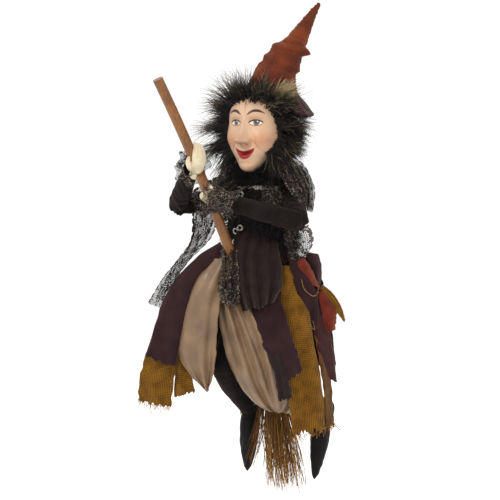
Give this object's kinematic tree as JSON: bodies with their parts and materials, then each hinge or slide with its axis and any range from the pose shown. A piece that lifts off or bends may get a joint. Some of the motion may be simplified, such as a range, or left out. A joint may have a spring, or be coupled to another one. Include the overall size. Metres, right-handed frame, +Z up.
{
  "type": "hanging witch figure",
  "caption": "Soft witch figure that hangs by an eye and rides a twig broomstick, with a motor that turns her head and wired arms and legs.",
  "frame": {"origin": "centre of the hanging eye's bore at her upper back", "axes": "+Z up, she faces -Y, +X towards her left hand"},
  "size_m": [0.2171, 0.2387, 0.5995],
  "materials": {
    "black_plastic": "moulded, fine texture",
    "bright_steel": "plated",
    "bronze": "sintered",
    "white_plastic": "moulded acetal",
    "cell_wrap": "shrink sleeve",
    "circuit_board": "solder mask",
    "beech": "sanded",
    "wadding": "polyester wadding in calico",
    "painted_skin": "hand painted",
    "long_fur": "long pile",
    "rust_suede": "suede cloth",
    "dark_net": "stiff net",
    "black_lace": "floral lace",
    "black_jersey": "knitted",
    "cream_skin": "painted",
    "silver_metal": "polished",
    "aubergine_felt": "pressed wool felt",
    "hessian": "open jute weave",
    "taupe_satin": "satin",
    "rust_cloth": "taffeta",
    "varnished_dowel": "stained and waxed",
    "twig": "dry twig",
    "twine": "twine",
    "boot_leather": "soft leathercloth"
  },
  "bodies": {
    "torso": {"case_front": "black_plastic", "case_rear": "black_plastic", "case_fittings": "bright_steel", "battery_cells": "cell_wrap", "battery_door": "black_plastic", "motor_can": "bright_steel", "gear_head": "bronze", "control_board": "circuit_board", "bearing_plate": "white_plastic", "neck_bushes": "bronze", "shoulder_axles": "bright_steel", "spine_post": "bright_steel", "pelvis_block": "beech", "hip_axle": "bright_steel", "hanging_eye": "bright_steel", "body_padding": "wadding", "vest": "long_fur", "fur_collar": "long_fur", "skirt_yoke": "aubergine_felt", "bodice_beads": "silver_metal", "lace_shawl": "black_lace", "apron": "dark_net", "back_panels": "aubergine_felt"},
    "switch": {"switch_slider": "white_plastic"},
    "pinion": {"drive_pinion": "bronze"},
    "head": {"neck_shaft": "bright_steel", "neck_gear": "white_plastic", "head_shell": "painted_skin", "fur_wig": "long_fur", "hat_cone": "rust_suede", "hat_brim": "dark_net"},
    "right_arm": {"right_arm_wire": "bright_steel", "right_sleeve": "black_jersey", "right_hand": "cream_skin", "broomstick": "varnished_dowel", "broom_twigs": "twig", "broom_binding": "twine", "shawl_tail": "black_lace"},
    "left_arm": {"left_arm_wire": "bright_steel", "left_sleeve": "black_jersey", "left_hand": "cream_skin"},
    "right_thigh": {"right_thigh_bone": "beech", "right_knee_pin": "bright_steel", "right_thigh_padding": "wadding", "satin_panel_right": "taupe_satin", "felt_panel_right": "aubergine_felt", "hessian_panel_right": "hessian"},
    "right_shin": {"right_shin_bone": "beech", "right_shin_padding": "wadding", "right_boot": "boot_leather"},
    "left_thigh": {"left_thigh_bone": "beech", "left_knee_pin": "bright_steel", "left_thigh_padding": "wadding", "bloomer_left": "taupe_satin", "felt_panel_left": "aubergine_felt", "hessian_panel_left": "hessian", "rust_panel_left": "rust_cloth"},
    "left_shin": {"left_shin_bone": "beech", "left_shin_padding": "wadding", "left_boot": "boot_leather"}
  },
  "joints": [
    {"name": "neck_turn", "type": "hinge", "parent": "torso", "child": "head", "pos_m": [0, -0.05, 0.016], "axis": [0, 0, 1], "range_deg": [-25, 25]},
    {"name": "pinion_spin", "type": "hinge", "parent": "torso", "child": "pinion", "pos_m": [0.0192, -0.05, -0.011], "axis": [0, 0, 1], "range_deg": [-80, 80]},
    {"name": "switch_slide", "type": "slide", "parent": "torso", "child": "switch", "axis": [0, 0, 1], "range_m": [0, 0.003]},
    {"name": "right_shoulder", "type": "hinge", "parent": "torso", "child": "right_arm", "pos_m": [-0.04, -0.05, -0.009], "axis": [-1, 0, 0], "range_deg": [0, 5]},
    {"name": "left_shoulder", "type": "hinge", "parent": "torso", "child": "left_arm", "pos_m": [0.04, -0.05, -0.009], "axis": [-1, 0, 0], "range_deg": [0, 5]},
    {"name": "right_hip", "type": "hinge", "parent": "torso", "child": "right_thigh", "pos_m": [-0.024, -0.05, -0.119], "axis": [-1, 0, 0], "range_deg": [-5, 15]},
    {"name": "right_knee", "type": "hinge", "parent": "right_thigh", "child": "right_shin", "pos_m": [-0.026, -0.093, -0.212], "axis": [-1, 0, 0], "range_deg": [-6, 10]},
    {"name": "left_hip", "type": "hinge", "parent": "torso", "child": "left_thigh", "pos_m": [0.024, -0.05, -0.119], "axis": [-1, 0, 0], "range_deg": [-5, 15]},
    {"name": "left_knee", "type": "hinge", "parent": "left_thigh", "child": "left_shin", "pos_m": [0.046, -0.058, -0.224], "axis": [-1, 0, 0], "range_deg": [-6, 10]}
  ],
  "couplings": [
    {"joint": "pinion_spin", "follows": "neck_turn", "ratio": -3},
    {"joint": "left_shoulder", "follows": "right_shoulder", "ratio": 1}
  ]
}
